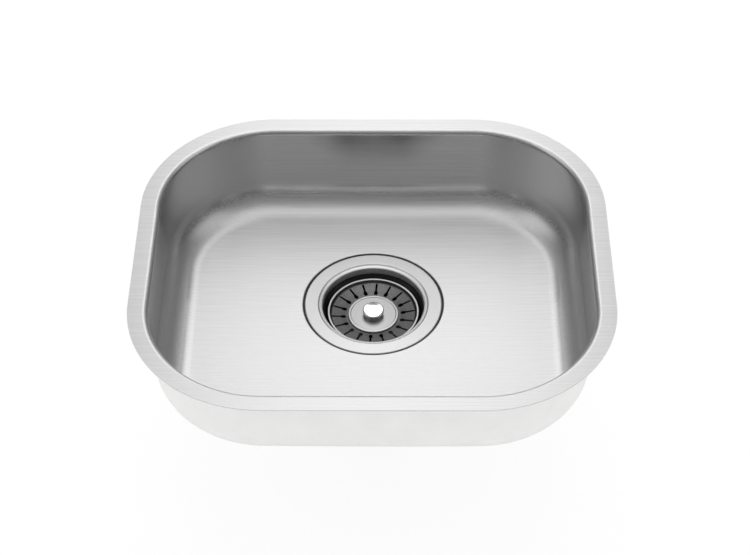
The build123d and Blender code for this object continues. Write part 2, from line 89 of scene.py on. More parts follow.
# %% Selection and modifier helpers
def clear_selection():
    """Leave edit mode and select nothing."""
    if bpy.context.object and bpy.context.object.mode == "EDIT":
        bpy.ops.object.mode_set(mode="OBJECT")
    bpy.ops.object.select_all(action="DESELECT")


def pick(piece, kind, test):
    """In edit mode, select only the elements of one kind that pass the test."""
    bpy.ops.mesh.select_mode(type=kind)
    bpy.ops.mesh.select_all(action="DESELECT")
    shape = bmesh.from_edit_mesh(piece.data)
    elements = {"VERT": shape.verts, "EDGE": shape.edges, "FACE": shape.faces}[kind]
    chosen = [element for element in elements if not element.hide and test(element)]
    for element in chosen:
        element.select_set(True)
    shape.select_flush_mode()
    bmesh.update_edit_mesh(piece.data)
    return len(chosen)


def apply_modifier(piece, kind, **settings):
    """Add a modifier with its settings and apply it."""
    bpy.ops.object.select_all(action="DESELECT")
    piece.select_set(True)
    bpy.context.view_layer.objects.active = piece
    modifier = piece.modifiers.new(kind.lower(), kind)
    for setting, value in settings.items():
        setattr(modifier, setting, value)
    bpy.ops.object.modifier_apply(modifier=modifier.name)


def smooth(piece, angle=35):
    """Smooth shading with crisp edges, and normals that follow the large faces."""
    bpy.ops.object.select_all(action="DESELECT")
    piece.select_set(True)
    bpy.context.view_layer.objects.active = piece
    bpy.ops.object.shade_smooth_by_angle(angle=radians(angle))
    apply_modifier(piece, "WEIGHTED_NORMAL", keep_sharp=True)


print("helpers ready")

# %% [markdown]
# ## The bowl
#
# A real bowl is drawn from flat sheet in a press, so the mesh is made the same way: a flat plate
# with rounded corners, whose middle is inset again and again, each time a little further down.
# Small steps make the lip and the cove, and a few long steps make the wall. A subdivision surface
# could do it with fewer faces, but it would round the flat flange, so true arcs are used instead.
# The sheet gets its gauge last, from a Solidify modifier, which also gives the outer side a
# material slot of its own, because such bowls are often sprayed on the outside.

# %% Bowl: the plate and the steps of its section
bowl_length = 378 * mm
bowl_width = 326 * mm
flange_corner_radius = 107 * mm
lip_reach = 16 * mm
lip_bend = 4.5 * mm
bowl_gauge = 1 * mm
bowl_depth = 80 * mm
wall_draft = radians(2)
cove_radius = 25.5 * mm
dish_radius = 6000 * mm
dish_reach = 185 * mm
dish_fall = dish_reach**2 / (2 * dish_radius)
floor_level = dish_fall - bowl_depth
half_way = -50 * mm

lip_steps = 10
cove_steps = 14
turn = pi / 2 - wall_draft
section = [(0.0, 0.0), (1.2 * mm, 0.0)]
lip_start = lip_reach - lip_bend * tan(turn / 2)
for i in range(lip_steps + 1):
    angle = turn * i / lip_steps
    section.append((lip_start + lip_bend * sin(angle), -lip_bend * (1 - cos(angle))))
cove_height = floor_level + cove_radius
wall_foot = cove_height - cove_radius * sin(wall_draft)
for level in (-11 * mm, -19 * mm, -28 * mm, -38 * mm, wall_foot):
    section.append((lip_reach - level * tan(wall_draft), level))
cove_centre = section[-1][0] + cove_radius * cos(wall_draft)
for i in range(1, cove_steps + 1):
    angle = wall_draft + turn * i / cove_steps
    section.append((cove_centre - cove_radius * cos(angle), cove_height - cove_radius * sin(angle)))
print("bowl section:", len(section), "points, floor at", round(floor_level / mm, 2), "mm")

# %% Bowl: inset the plate down to the floor
clear_selection()
bpy.ops.mesh.primitive_plane_add(size=1)
bowl = bpy.context.object
bowl.name = "bowl_sheet"
bpy.ops.object.mode_set(mode="EDIT")
bpy.ops.transform.resize(value=(bowl_length, bowl_width, 1), center_override=(0, 0, 0))
bpy.ops.mesh.bevel(offset=flange_corner_radius, segments=32, profile=0.5, affect="VERTICES")
for side, sign, cuts in ((0, -1, 15), (0, 1, 15), (1, -1, 23), (1, 1, 23)):
    edge_line = sign * (bowl_length, bowl_width)[side] / 2
    pick(bowl, "EDGE", lambda e: all(abs(v.co[side] - edge_line) < 1e-6 for v in e.verts))
    bpy.ops.mesh.subdivide(number_cuts=cuts)
faces = pick(bowl, "FACE", lambda f: True)
print("plate:", faces, "face,", len(bmesh.from_edit_mesh(bowl.data).verts), "corners")
for (x0, z0), (x1, z1) in zip(section, section[1:]):
    bpy.ops.mesh.inset(thickness=x1 - x0, depth=z1 - z0, use_even_offset=True)
bpy.ops.mesh.delete(type="ONLY_FACE")
rim_count = pick(bowl, "EDGE", lambda e: e.is_boundary and e.verts[0].co.z < half_way)
print("edges round the floor:", rim_count)

# %% [markdown]
# ## The floor and its drain recess
#
# The floor joins the rounded rectangle of the cove to the round recess of the drain. Bridging two
# loops with the same number of points gives an even fan of faces between them. The fall to the
# drain is one proportional move: an inverse square falloff is an exact parabola, so pulling the
# middle down with it makes the shallow dish that a real floor has.

# %% Floor: bridge, dish and recess
drain_y = 23 * mm
drain_z = -bowl_depth
recess_radius = 58.3 * mm
recess_round = 0.8 * mm
recess_depth = 2.5 * mm
drain_hole_radius = 45 * mm

recess_edge = recess_radius + recess_round
bpy.ops.mesh.primitive_circle_add(
    vertices=rim_count, radius=recess_edge, location=(0, drain_y, floor_level)
)
pick(bowl, "EDGE", lambda e: len(e.link_faces) < 2 and e.verts[0].co.z < half_way)
bpy.ops.mesh.bridge_edge_loops(number_cuts=9, interpolation="LINEAR")


def at_recess_edge(e):
    """True for the open edges round the recess."""
    far = [sqrt(v.co.x**2 + (v.co.y - drain_y) ** 2) for v in e.verts]
    return e.is_boundary and max(far) < recess_edge + mm


pick(bowl, "EDGE", at_recess_edge)
bpy.ops.mesh.edge_face_add()
bpy.ops.mesh.poke()
pick(bowl, "VERT", lambda v: v.co.z > half_way)
bpy.ops.mesh.hide()
pick(bowl, "VERT", lambda v: v.co.x**2 + (v.co.y - drain_y) ** 2 < mm**2)
bpy.ops.transform.translate(
    value=(0, 0, -dish_fall),
    use_proportional_edit=True,
    proportional_edit_falloff="INVERSE_SQUARE",
    proportional_size=dish_reach,
)
bpy.ops.mesh.delete(type="VERT")
bpy.ops.mesh.reveal(select=False)
pick(bowl, "EDGE", at_recess_edge)
edge_height = recess_edge**2 / (2 * dish_radius)
recess_steps = [(recess_edge, edge_height)]
for i in range(1, 6):
    angle = pi / 2 * i / 5
    drop = recess_round * (1 - cos(angle))
    recess_steps.append((recess_edge - recess_round * sin(angle), edge_height - drop))
for inwards, upwards in ((0, 0.5), (0.15, 0.15), (0.5, 0)):
    recess_steps.append((recess_radius - inwards * mm, upwards * mm - recess_depth))
recess_steps.append((52 * mm, -recess_depth))
recess_steps.append((drain_hole_radius, -recess_depth))
for (r0, h0), (r1, h1) in zip(recess_steps, recess_steps[1:]):
    bpy.ops.mesh.extrude_region_move(TRANSFORM_OT_translate={"value": (0, 0, h1 - h0)})
    bpy.ops.transform.resize(value=(r1 / r0, r1 / r0, 1), center_override=(0, drain_y, 0))
bpy.ops.mesh.select_all(action="SELECT")
# The insets stretched the plate's UV map, so the sheet gets an even one from a box projection.
bpy.ops.uv.cube_project(cube_size=1)
bpy.ops.object.mode_set(mode="OBJECT")
print("bowl sheet:", len(bowl.data.polygons), "faces before it gets its gauge")

# %% Bowl: gauge, broken edges and smooth normals
for place in ("inside", "outside"):
    bpy.ops.object.material_slot_add()
apply_modifier(
    bowl, "SOLIDIFY", thickness=bowl_gauge, offset=-1, use_even_offset=True,
    use_quality_normals=True, material_offset=1,
)
apply_modifier(
    bowl, "BEVEL", width=0.3 * mm, segments=3, limit_method="ANGLE", angle_limit=radians(50)
)
smooth(bowl)
print("bowl:", len(bowl.data.polygons), "faces,", [round(d / mm, 2) for d in bowl.dimensions], "mm")

# %% [markdown]
# ## Turned and pressed round pieces
#
# Everything in the drain is round, so one helper makes it all: a circle is extruded and resized
# from point to point of a half section, like clay on a wheel. A spin would give the same rings,
# but this way each ring lies exactly on the section, and a sheet piece keeps one side up.
# Heights are measured from the strainer's flange, and are negative below it.


# %% Section and turning helpers
def bent(path, bends, steps=6):
    """A path whose inner corners are turned on their radii. The numbers are millimetres."""
    points = [path[0]]
    for before, corner, after, radius in zip(path, path[1:], path[2:], bends):
        if radius == 0:
            points.append(corner)
            continue
        back = [before[i] - corner[i] for i in (0, 1)]
        ahead = [after[i] - corner[i] for i in (0, 1)]
        back_length = sqrt(back[0] ** 2 + back[1] ** 2)
        ahead_length = sqrt(ahead[0] ** 2 + ahead[1] ** 2)
        back = [b / back_length for b in back]
        ahead = [a / ahead_length for a in ahead]
        across = back[0] * ahead[0] + back[1] * ahead[1]
        half = sqrt((1 - across) / 2)
        middle = [back[i] + ahead[i] for i in (0, 1)]
        reach = sqrt(middle[0] ** 2 + middle[1] ** 2)
        if reach < 1e-6:
            points.append(corner)
            continue
        centre = [corner[i] + middle[i] / reach * radius / half for i in (0, 1)]
        tangent = radius * sqrt(1 - half**2) / half
        first = [corner[i] + back[i] * tangent - centre[i] for i in (0, 1)]
        last = [corner[i] + ahead[i] * tangent - centre[i] for i in (0, 1)]
        for step in range(steps + 1):
            share = step / steps
            ray = [first[i] * (1 - share) + last[i] * share for i in (0, 1)]
            size = sqrt(ray[0] ** 2 + ray[1] ** 2)
            points.append(tuple(centre[i] + ray[i] / size * radius for i in (0, 1)))
    points.append(path[-1])
    return points


def looped(corners, bends, steps=4):
    """A closed section, begun in the middle of its last side."""
    start = tuple((corners[-1][i] + corners[0][i]) / 2 for i in (0, 1))
    return bent([start] + corners + [start], bends, steps)


def turned(name, points, sides=96):
    """Turn a half section, in millimetres, round the drain's axis."""
    clear_selection()
    radius, height = points[0]
    bpy.ops.mesh.primitive_circle_add(
        vertices=sides, radius=radius * mm, location=(0, drain_y, drain_z + height * mm)
    )
    piece = bpy.context.object
    piece.name = name
    bpy.ops.object.transform_apply(location=True)
    bpy.ops.object.mode_set(mode="EDIT")
    bpy.ops.mesh.select_mode(type="EDGE")
    bpy.ops.mesh.select_all(action="SELECT")
    for (r0, h0), (r1, h1) in zip(points, points[1:]):
        bpy.ops.mesh.extrude_region_move(TRANSFORM_OT_translate={"value": (0, 0, (h1 - h0) * mm)})
        if r1 > 0:
            bpy.ops.transform.resize(value=(r1 / r0, r1 / r0, 1), center_override=(0, drain_y, 0))
        else:
            bpy.ops.mesh.merge(type="CENTER")
    return piece


def sheet_piece(name, path, bends, gauge, sides=128, edge=0.15):
    """Pressed sheet: its show face from the rim inwards, thickened away from that face."""
    piece = turned(name, bent(path, bends), sides)
    bpy.ops.mesh.select_all(action="SELECT")
    bpy.ops.mesh.normals_make_consistent(inside=False)
    bpy.ops.object.mode_set(mode="OBJECT")
    if sum(face.normal.z * face.area for face in piece.data.polygons) < 0:
        bpy.ops.object.mode_set(mode="EDIT")
        bpy.ops.mesh.flip_normals()
        bpy.ops.object.mode_set(mode="OBJECT")
    apply_modifier(
        piece, "SOLIDIFY", thickness=gauge * mm, offset=-1, use_even_offset=True,
        use_quality_normals=True,
    )
    if edge:
        apply_modifier(
            piece, "BEVEL", width=edge * mm, segments=2, limit_method="ANGLE",
            angle_limit=radians(60),
        )
    return piece


def solid_piece(name, corners, bends, sides=96, steps=4):
    """A ring or sleeve: a closed section, each corner with its radius."""
    piece = turned(name, looped(corners, bends, steps), sides)
    bpy.ops.mesh.select_all(action="SELECT")
    bpy.ops.mesh.remove_doubles(threshold=0.002 * mm)
    bpy.ops.mesh.normals_make_consistent(inside=False)
    bpy.ops.object.mode_set(mode="OBJECT")
    return piece


def paint_shade_below(piece, heights):
    """Give the faces below each height the next material slot, which here carries painted shade."""
    bpy.ops.object.material_slot_add()
    for index, height in enumerate(heights, 1):
        bpy.ops.object.material_slot_add()
        bpy.ops.object.mode_set(mode="EDIT")
        pick(piece, "FACE", lambda f: f.calc_center_median().z < drain_z + height * mm)
        piece.active_material_index = index
        bpy.ops.object.material_slot_assign()
        bpy.ops.object.mode_set(mode="OBJECT")


print("turning helpers ready")

# %% [markdown]
# ## The strainer's body
#
# It is pressed from thin polished steel. Its flange has a turned-down edge, a small step leads into
# the throat, and a conical shoulder carries the basket. It could be turned as a closed section, but
# a thickened path keeps one gauge all over, as pressing does. The path below is its show face.

# %% Strainer body
strainer_body = sheet_piece(
    "strainer_cup",
    [(57, -1.6), (57, 0), (46, 0), (44.9, -0.9), (42, -1.5), (42, -8.3), (37, -13.3),
     (36.2, -36), (18.5, -41), (18.5, -56)],
    [1.0, 1.0, 1.0, 1.4, 1.5, 1.5, 6.0, 2.5],
    0.9,
    sides=144,
)
# Below 1.7 mm the throat is painted a darker grey, and below 7.2 mm almost black: painted shade
# inside the cup.
paint_shade_below(strainer_body, [-1.7, -7.2])
smooth(strainer_body)
print("strainer cup:", [round(d / mm, 2) for d in strainer_body.dimensions], "mm")

# %% [markdown]
# ## The basket
#
# The basket hangs in the cup by its rolled rim. Its cone is cut by 18 keyhole slots. One keyhole
# cutter is modelled from two stretched circles, copied round the axis, and subtracted, because
# the holes must be real: the cup below, painted almost black as shade, shows through them.

# %% Basket sheet
basket = sheet_piece(
    "basket_sheet",
    [(38.2, -11.676), (38.2, -9.276), (36.4, -9.276), (35.2, -12.276), (22.3, -14.176),
     (2.8, -14.176)],
    [0.8, 0.8, 1.2, 2.0],
    0.7,
    sides=180,
    edge=0,
)
# Below its rim the basket is painted a dark grey: painted shade.
paint_shade_below(basket, [-9.6])
print("basket sheet:", len(basket.data.polygons), "faces")


# %% Keyhole slots
def keyhole_cutter(name, inner, outer, width, count, start):
    """Slots with round ends, cut straight down, spread evenly round the axis."""
    clear_selection()
    cutters = []
    for i in range(count):
        bpy.ops.mesh.primitive_cylinder_add(
            vertices=24, radius=width / 2 * mm, depth=8 * mm,
            location=((inner + width / 2) * mm, 0, -14 * mm),
        )
        cutter = bpy.context.object
        bpy.ops.object.transform_apply(location=True)
        bpy.ops.object.mode_set(mode="EDIT")
        pick(cutter, "VERT", lambda v: v.co.x > (inner + width / 2) * mm + 1e-6)
        bpy.ops.transform.translate(value=((outer - inner - width) * mm, 0, 0))
        bpy.ops.object.mode_set(mode="OBJECT")
        spot = Matrix.Translation((0, drain_y, drain_z))
        cutter.data.transform(spot @ Matrix.Rotation(radians(start + 360 / count * i), 4, "Z"))
        cutters.append(cutter)
    bpy.ops.object.select_all(action="DESELECT")
    for cutter in cutters:
        cutter.select_set(True)
    bpy.context.view_layer.objects.active = cutters[0]
    bpy.ops.object.join()
    cutters[0].name = name
    return cutters[0]


for inner, outer, width in ((22.8, 34.7, 1.8), (22.8, 27.4, 3.4)):
    cutter = keyhole_cutter("slot_cutter", inner, outer, width, 18, 85.5)
    apply_modifier(basket, "BOOLEAN", operation="DIFFERENCE", solver="EXACT", object=cutter)
    bpy.data.objects.remove(cutter)
apply_modifier(
    basket, "BEVEL", width=0.1 * mm, segments=1, limit_method="ANGLE", angle_limit=radians(60)
)
smooth(basket)
print("basket with slots:", len(basket.data.polygons), "faces")

# %% [markdown]
# ## Cap, knob and what hangs under them
#
# A pressed cap covers the middle of the basket, so it is a thickened path like the basket. The knob
# is a turned button with a crowned top on a narrow waist. It pulls a stem that carries the rubber
# stopper up to the basket. These are solid, so they are turned as closed shapes.

# %% Cap and knob
basket_cap = sheet_piece(
    "basket_cap",
    [(21.2, -14.176), (21.2, -12.576), (19.2, -12.576), (18.7, -13.076), (2.8, -13.076)],
    [1.1, 0.4, 0.4],
    0.6,
)
# Below its rim the cap's panel is painted a darker grey than the rim: painted shade.
paint_shade_below(basket_cap, [-12.8])
smooth(basket_cap)

knob_points = [(2.55, -9.176), (2.55, -12.776)] + bent(
    [(5.6, -12.776), (5.85, -12.72), (5.4, -11.076), (7.3, -10.3), (8.75, -9.7), (8.75, -7.85),
     (8.0, -7.6), (4.6, -7.2), (0.6, -6.976)],
    [0.1, 1.2, 2.0, 0.35, 0.35, 1.5, 6.0],
    5,
)
knob = turned("knob_button", knob_points + [(0, -6.976)])
pick(knob, "EDGE", lambda e: e.is_boundary)
bpy.ops.mesh.edge_face_add()
bpy.ops.mesh.select_all(action="SELECT")
bpy.ops.mesh.normals_make_consistent(inside=False)
bpy.ops.object.mode_set(mode="OBJECT")
smooth(knob, 50)
print("cap and knob:", len(basket_cap.data.polygons), len(knob.data.polygons), "faces")

# %% Stem, sleeve and stopper
stem_points = [(0.5, -9.276), (2.3, -9.276), (2.5, -9.476), (2.5, -20.876), (2.2, -20.976),
               (2.2, -21.976), (2.5, -22.076), (2.5, -28.876), (2.2, -28.976), (2.2, -29.976),
               (2.5, -30.076), (2.5, -61.7), (2.2, -62.0), (0.5, -62.0)]
stem = turned("knob_post", stem_points, 48)
for level in (0, -100 * mm):
    pick(stem, "EDGE", lambda e: e.is_boundary and e.verts[0].co.z > drain_z - 30 * mm + level)
    bpy.ops.mesh.edge_face_add()
bpy.ops.object.mode_set(mode="OBJECT")
print("stem:", len(stem.data.polygons), "faces")

sleeve = solid_piece(
    "basket_sleeve",
    [(2.58, -14.876), (9, -14.876), (9, -15.876), (5.5, -15.876), (5.5, -26.876), (2.58, -26.876)],
    [0.1, 0.2, 0.2, 0.5, 0.2, 0.2],
    64,
)
smooth(sleeve)
stopper = solid_piece(
    "stopper_rubber",
    [(2.55, -37.25), (25, -37.25), (25, -38.85), (18.5, -40.69), (17.5, -41.6), (2.55, -41.6)],
    [0.1, 0.5, 0.3, 0.3, 0.4, 0.1],
)
smooth(stopper, 50)
stopper_plate = solid_piece(
    "stopper_plate_steel",
    [(2.55, -36.45), (21, -36.45), (21, -37.24), (2.55, -37.24)], [0.1, 0.3, 0.1, 0.1],
)
smooth(stopper_plate)
stopper_washer = solid_piece(
    "stopper_washer_steel",
    [(2.55, -41.61), (12, -41.61), (12, -42.6), (2.55, -42.6)], [0.1, 0.1, 0.3, 0.1], 64,
)
smooth(stopper_washer)
print("stopper:", len(stopper.data.polygons), "faces")

# %% [markdown]
# ## What clamps the strainer under the floor
#
# The underside is hidden in use, but a good model is finished there too. The clamp cup is pressed
# steel, the spud has a coarse thread, and the tailpiece is a thin chromed tube. They are turned
# from their sections like the rest. The thread is a stack of rings and not a helix, because it is
# seen only from afar. The nuts keep their CAD shape, whose ears and ribs need no smoother mesh.

# %% Clamp cup, spud and tailpiece
clamp_cup = sheet_piece(
    "clamp_cup_steel",
    [(54, -5.5), (46.2, -5.5), (44, -46), (23.85, -46)],
    [2.5, 10.0],
    1.0,
)
smooth(clamp_cup)
thread = []
for i in range(17):
    crest = -47.4 - 1.4 * i
    thread += [(23.7, crest), (23.7, crest - 0.5), (23.15, crest - 0.8), (23.15, crest - 1.1)]
spud = solid_piece(
    "outlet_spud_steel",
    [(19.5, -44.25), (22, -41.05), (23.7, -40.57)] + thread + [(23.7, -72.3), (19.5, -72.3)],
    [0.2, 0.2, 0.2] + [0.05] * len(thread) + [0.2, 0.2],
    96,
    1,
)
smooth(spud, 50)
tailpiece = solid_piece(
    "tail_tube",
    [(17.85, -74.3), (23.6, -74.3), (23.6, -75.8), (18.8, -75.8), (18.8, -79.25),
     (19.05, -79.5), (19.05, -135.8), (17.85, -135.8)],
    [0.3, 0.3, 0.3, 0.3, 0.1, 0.1, 0.4, 0.4],
)
smooth(tailpiece)
print("clamp cup, spud and tailpiece turned")

# %% [markdown]
# ## Materials
#
# The bowl is brushed: fine scratches run left to right on the flange, the floor and the long walls,
# and front to back on the end walls. Two stretched noise textures make those scratches, and the
# surface's own normal chooses between them. The drain's steel is spun on a lathe, so its scratches
# are rings round the axis. Anisotropy spreads each highlight across the grain, as scratches do. A
# picture of brushed steel would also work, but it would stretch in the corners, where this doesn't.


# %% Node helpers
def new_material(name, colour, metallic, roughness, **settings):
    """A Principled material, with constants set on the shader's own sockets."""
    material = bpy.data.materials.new(name)
    material.use_nodes = True
    shader = material.node_tree.nodes["Principled BSDF"]
    shader.inputs["Base Color"].default_value = (*colour, 1)
    shader.inputs["Metallic"].default_value = metallic
    shader.inputs["Roughness"].default_value = roughness
    for socket, value in settings.items():
        shader.inputs[socket.replace("_", " ")].default_value = value
    return material, shader


def node(material, kind, **values):
    """Add a node and set its properties, or its sockets where a property has no such name."""
    made = material.node_tree.nodes.new(kind)
    for key, value in values.items():
        if hasattr(made, key):
            setattr(made, key, value)
        else:
            made.inputs[key.replace("_", " ")].default_value = value
    return made


def link(material, source, target):
    material.node_tree.links.new(source, target)


def noise(material, place, detail=2.0, scale=1.0):
    """Noise that reads a mapped place."""
    made = node(material, "ShaderNodeTexNoise", Scale=scale, Detail=detail, Roughness=0.6)
    link(material, place, made.inputs["Vector"])
    return made.outputs["Fac"]


def mapped(material, scale, centre=(0, 0, 0)):
    """Object coordinates, centred on a place and stretched."""
    place = node(material, "ShaderNodeTexCoord")
    mapping = node(material, "ShaderNodeMapping")
    mapping.inputs["Scale"].default_value = scale
    mapping.inputs["Location"].default_value = [-c * s for c, s in zip(centre, scale)]
    link(material, place.outputs["Object"], mapping.inputs["Vector"])
    return mapping.outputs["Vector"]


def spread(material, value, low, high, target):
    """Send a 0 to 1 value to a socket as a range around its plain value."""
    made = node(material, "ShaderNodeMapRange")
    made.inputs["From Min"].default_value = 0.3
    made.inputs["From Max"].default_value = 0.7
    made.inputs["To Min"].default_value = low
    made.inputs["To Max"].default_value = high
    link(material, value, made.inputs["Value"])
    link(material, made.outputs["Result"], target)


def tint(material, value, dark, light, target):
    """Turn a 0 to 1 value into a colour between two near tones."""
    ramp = node(material, "ShaderNodeValToRGB")
    ramp.color_ramp.elements[0].position = 0.3
    ramp.color_ramp.elements[0].color = (*dark, 1)
    ramp.color_ramp.elements[1].position = 0.7
    ramp.color_ramp.elements[1].color = (*light, 1)
    link(material, value, ramp.inputs["Fac"])
    link(material, ramp.outputs["Color"], target)


def relief(material, value, height, target):
    """A bump of a height in metres."""
    bump = node(material, "ShaderNodeBump")
    bump.inputs["Strength"].default_value = 1.0
    bump.inputs["Distance"].default_value = height
    link(material, value, bump.inputs["Height"])
    link(material, bump.outputs["Normal"], target)


def squared(material, value):
    """The square of a number."""
    made = node(material, "ShaderNodeMath", operation="MULTIPLY")
    link(material, value, made.inputs[0])
    link(material, value, made.inputs[1])
    return made.outputs["Value"]


def between(material, factor, first, last):
    """A number that goes from the first to the last plain value with the factor."""
    made = node(material, "ShaderNodeMix", data_type="FLOAT")
    link(material, factor, made.inputs["Factor"])
    made.inputs["A"].default_value = first
    made.inputs["B"].default_value = last
    return made.outputs["Result"]


print("node helpers ready")


# %% The course of the scratches
def scratch_course(material, normal, level):
    """A direction that runs round the walls, and left to right where the sheet is level."""
    around = node(material, "ShaderNodeVectorMath", operation="CROSS_PRODUCT")
    around.inputs[0].default_value = (0, 0, 1)
    link(material, normal, around.inputs[1])
    course = node(material, "ShaderNodeSeparateXYZ")
    link(material, around.outputs["Vector"], course.inputs["Vector"])
    rightward = node(material, "ShaderNodeMath", operation="GREATER_THAN")
    link(material, course.outputs["X"], rightward.inputs[0])
    rightward.inputs[1].default_value = 0.0
    sign = node(material, "ShaderNodeMath", operation="MULTIPLY_ADD")
    link(material, rightward.outputs["Value"], sign.inputs[0])
    sign.inputs[1].default_value = 2.0
    sign.inputs[2].default_value = -1.0
    flat = node(material, "ShaderNodeMapRange")
    flat.inputs["From Min"].default_value = 0.85
    flat.inputs["From Max"].default_value = 0.99
    flat.inputs["To Max"].default_value = 4.0
    link(material, level, flat.inputs["Value"])
    pull = node(material, "ShaderNodeMath", operation="MULTIPLY")
    link(material, sign.outputs["Value"], pull.inputs[0])
    link(material, flat.outputs["Result"], pull.inputs[1])
    straight = node(material, "ShaderNodeCombineXYZ")
    link(material, pull.outputs["Value"], straight.inputs["X"])
    tangent = node(material, "ShaderNodeVectorMath", operation="ADD")
    link(material, around.outputs["Vector"], tangent.inputs[0])
    link(material, straight.outputs["Vector"], tangent.inputs[1])
    return tangent.outputs["Vector"]


# %% Brushed and spun steel
def brushed_steel(name, wall_roughness, floor_roughness, wall_painted_shade):
    """Straight scratches that follow the walls, which are smoother than the floor, with the walls'
    colour painted darker as shade.
    """
    material, shader = new_material(
        name, (0.72, 0.72, 0.725), 0.96, floor_roughness, Anisotropic=0.7, Anisotropic_Rotation=0.25
    )
    along_x = noise(material, mapped(material, (9, 1000, 1000)), 4)
    along_y = noise(material, mapped(material, (1000, 9, 1000)), 4)
    geometry = node(material, "ShaderNodeNewGeometry")
    normal = geometry.outputs["Normal"]
    parts = node(material, "ShaderNodeSeparateXYZ")
    link(material, normal, parts.inputs["Vector"])
    sideways = squared(material, parts.outputs["X"])
    level = squared(material, parts.outputs["Z"])
    blend = node(material, "ShaderNodeMix", data_type="FLOAT")
    link(material, sideways, blend.inputs["Factor"])
    link(material, along_x, blend.inputs["A"])
    link(material, along_y, blend.inputs["B"])
    grain = blend.outputs["Result"]
    # The walls get a darker colour than the level floor: painted shade.
    wall_shade_toned = node(material, "ShaderNodeVectorMath", operation="SCALE")
    link(material, between(material, level, wall_painted_shade, 1.0), wall_shade_toned.inputs["Scale"])
    tint(material, grain, (0.65, 0.65, 0.655), (0.78, 0.78, 0.785), wall_shade_toned.inputs[0])
    link(material, wall_shade_toned.outputs["Vector"], shader.inputs["Base Color"])
    gloss = node(material, "ShaderNodeMath", operation="MULTIPLY")
    link(material, between(material, level, wall_roughness, floor_roughness), gloss.inputs[0])
    spread(material, grain, 0.9, 1.1, gloss.inputs[1])
    link(material, gloss.outputs["Value"], shader.inputs["Roughness"])
    relief(material, grain, 0.000004, shader.inputs["Normal"])
    link(material, scratch_course(material, normal, level), shader.inputs["Tangent"])
    return material


def spun_steel(name, colour, roughness, anisotropy, grain_height=0.000002, uneven=0.05):
    """Rings of fine scratches round the drain's axis, and a tone that varies a little."""
    material, shader = new_material(
        name, colour, 1.0, roughness, Anisotropic=anisotropy, Anisotropic_Rotation=0.25
    )
    place = mapped(material, (1, 1, 1), (0, drain_y, 0))
    parts = node(material, "ShaderNodeSeparateXYZ")
    link(material, place, parts.inputs["Vector"])
    flat = node(material, "ShaderNodeCombineXYZ")
    link(material, parts.outputs["X"], flat.inputs["X"])
    link(material, parts.outputs["Y"], flat.inputs["Y"])
    reach = node(material, "ShaderNodeVectorMath", operation="LENGTH")
    link(material, flat.outputs["Vector"], reach.inputs[0])
    rings = node(material, "ShaderNodeCombineXYZ")
    link(material, reach.outputs["Value"], rings.inputs["X"])
    link(material, parts.outputs["Z"], rings.inputs["Y"])
    grain = noise(material, rings.outputs["Vector"], 3, 3000)
    cloud = noise(material, mapped(material, (700, 700, 700)), 3)
    tone = node(material, "ShaderNodeMath", operation="MULTIPLY_ADD")
    link(material, cloud, tone.inputs[0])
    tone.inputs[1].default_value = 0.7
    link(material, grain, tone.inputs[2])
    centred = node(material, "ShaderNodeMath", operation="MULTIPLY_ADD")
    link(material, tone.outputs["Value"], centred.inputs[0])
    centred.inputs[1].default_value = 0.7
    centred.inputs[2].default_value = -0.1
    dark = [c * (1 - uneven) for c in colour]
    light = [min(c * (1 + uneven), 1) for c in colour]
    tint(material, centred.outputs["Value"], dark, light, shader.inputs["Base Color"])
    spread(material, grain, roughness * 0.85, roughness * 1.15, shader.inputs["Roughness"])
    relief(material, grain, grain_height, shader.inputs["Normal"])
    return material


# The last number paints the walls darker than the floor: painted shade on one sheet of one finish.
bowl_steel = brushed_steel("bowl_steel", 0.2, 0.46, 0.84)
strainer_steel = spun_steel("strainer_steel", (0.76, 0.76, 0.76), 0.48, 0.3)
# The throat's grey and the cup's near black are painted shade on steel like the flange's.
throat_painted_shade = spun_steel("throat_painted_shade", (0.6, 0.6, 0.6), 0.4, 0.3)
cup_painted_shade = spun_steel("cup_painted_shade", (0.03, 0.03, 0.03), 0.4, 0.3)
# The basket's dark grey is painted shade, darker than the rim of the same sheet.
basket_steel = spun_steel("basket_steel", (0.12, 0.12, 0.12), 0.34, 0.4, uneven=0.4)
# The cap panel's grey is painted shade against its brighter rim of the same sheet.
disc_steel = spun_steel("disc_steel", (0.42, 0.42, 0.42), 0.3, 0.5, 0.000003)
knob_steel = spun_steel("knob_steel", (0.9, 0.9, 0.9), 0.14, 0.2, 0.0000005)
cup_steel = spun_steel("cup_steel", (0.6, 0.6, 0.61), 0.32, 0.4)
spring_steel = spun_steel("spring_steel", (0.55, 0.55, 0.56), 0.25, 0.2)
tube_chrome = spun_steel("tube_chrome", (0.6, 0.61, 0.62), 0.12, 0.1, 0.0000005)
print("steels:", len(bpy.data.materials), "materials")


# %% Rubber, plastics and fibre
def moulded(name, dark, light, roughness, grain, height, **settings):
    """A moulded piece: a fine even grain in its tone, its gloss and its relief."""
    material, shader = new_material(name, light, 0.0, roughness, **settings)
    speck = noise(material, mapped(material, (grain, grain, grain)), 4)
    cloud = noise(material, mapped(material, (45, 45, 45)), 2)
    tint(material, cloud, dark, light, shader.inputs["Base Color"])
    spread(material, speck, roughness * 0.85, min(roughness * 1.15, 1), shader.inputs["Roughness"])
    relief(material, speck, height, shader.inputs["Normal"])
    return material


